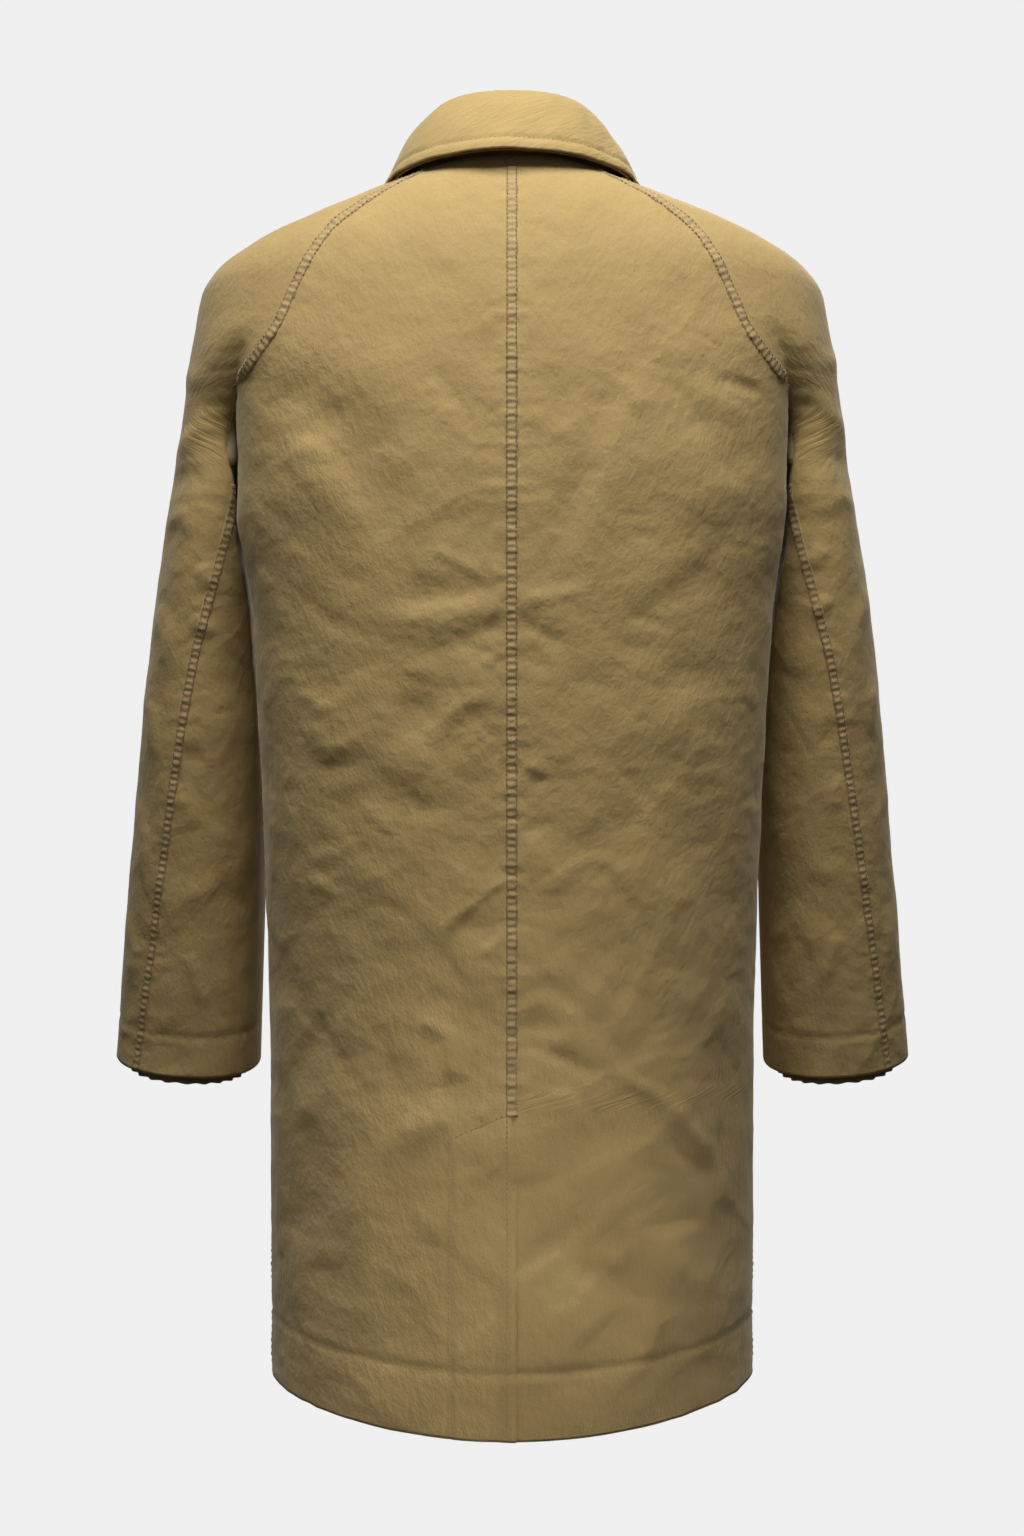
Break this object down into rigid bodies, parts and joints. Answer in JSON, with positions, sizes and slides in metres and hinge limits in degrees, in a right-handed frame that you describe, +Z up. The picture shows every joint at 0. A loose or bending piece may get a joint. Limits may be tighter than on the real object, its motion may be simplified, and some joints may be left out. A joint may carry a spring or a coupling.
{
  "type": "raglan raincoat",
  "caption": "Knee-length cotton raglan raincoat with turn-down collar, concealed fly front, welt pockets, gathered storm cuffs and a stitched centre-back vent; worn shape, empty.",
  "frame": {"origin": "the middle of the neck opening, level with the nape", "axes": "+Z up, the front faces -Y, the wearer's left is +X"},
  "size_m": [0.6152, 0.32, 0.977],
  "materials": {
    "shell": "washed khaki cotton, matt",
    "shell_shaded": "washed khaki cotton, inner side, matt",
    "lining": "smooth cotton lining, slight sheen",
    "horn_button": "polished horn-effect resin",
    "label": "plain woven, matt"
  },
  "bodies": {
    "coat": {"back_panel_left": "shell", "back_panel_right": "shell", "vent_underlap": "shell", "vent_overlap": "shell", "front_panel_left": "shell", "front_panel_right": "shell", "facing_left": "shell_shaded", "facing_right": "shell_shaded", "front_lining_left": "lining", "front_lining_right": "lining", "button_1": "horn_button", "button_2": "horn_button", "button_3": "horn_button", "button_4": "horn_button", "button_5": "horn_button", "pocket_welt_left": "shell", "pocket_welt_right": "shell", "pocket_bag_left": "lining", "pocket_bag_right": "lining", "sleeve_head_left": "shell", "sleeve_head_right": "shell", "sleeve_head_lining_left": "lining", "sleeve_head_lining_right": "lining", "back_lining_left": "lining", "back_lining_right": "lining", "collar_stand": "shell", "collar_leaf": "shell", "under_collar": "shell_shaded", "neck_label": "label"},
    "front_left": {"front_flap_left": "shell", "facing_flap_left": "shell_shaded", "buttonhole_strip": "shell_shaded"},
    "front_right": {"front_flap_right": "shell", "facing_flap_right": "shell_shaded"},
    "vent": {"vent_flap": "shell"},
    "sleeve_left": {"sleeve_upper_left": "shell", "sleeve_under_left": "shell", "sleeve_lining_left": "lining", "storm_cuff_left": "shell_shaded"},
    "sleeve_right": {"sleeve_upper_right": "shell", "sleeve_under_right": "shell", "sleeve_lining_right": "lining", "storm_cuff_right": "shell_shaded"},
    "loop": {"hanger_loop": "shell_shaded"}
  },
  "joints": [
    {"name": "front_left_open", "type": "hinge", "parent": "coat", "child": "front_left", "pos_m": [-0.032, -0.1405, -0.1982], "axis": [-0.1698, 0.0198, 0.9853], "range_deg": [0, 60]},
    {"name": "front_right_open", "type": "hinge", "parent": "coat", "child": "front_right", "pos_m": [0.032, -0.1482, -0.59], "axis": [0.3602, 0.0056, 0.9329], "range_deg": [-30, 0]},
    {"name": "vent_lift", "type": "hinge", "parent": "coat", "child": "vent", "pos_m": [-0.003, 0.154, -0.712], "axis": [0.2164, 0, -0.9763], "range_deg": [0, 30]},
    {"name": "sleeve_left_swing", "type": "hinge", "parent": "coat", "child": "sleeve_left", "pos_m": [0.25, -0.03, -0.2], "axis": [-1, 0, 0], "range_deg": [-15, 60]},
    {"name": "sleeve_right_swing", "type": "hinge", "parent": "coat", "child": "sleeve_right", "pos_m": [-0.25, -0.03, -0.2], "axis": [-1, 0, 0], "range_deg": [-15, 60]},
    {"name": "loop_flip", "type": "hinge", "parent": "coat", "child": "loop", "pos_m": [0, 0.064, 0.002], "axis": [-1, 0, 0], "range_deg": [0, 85]}
  ],
  "couplings": [
    {"joint": "front_right_open", "follows": "front_left_open", "ratio": -0.5}
  ]
}
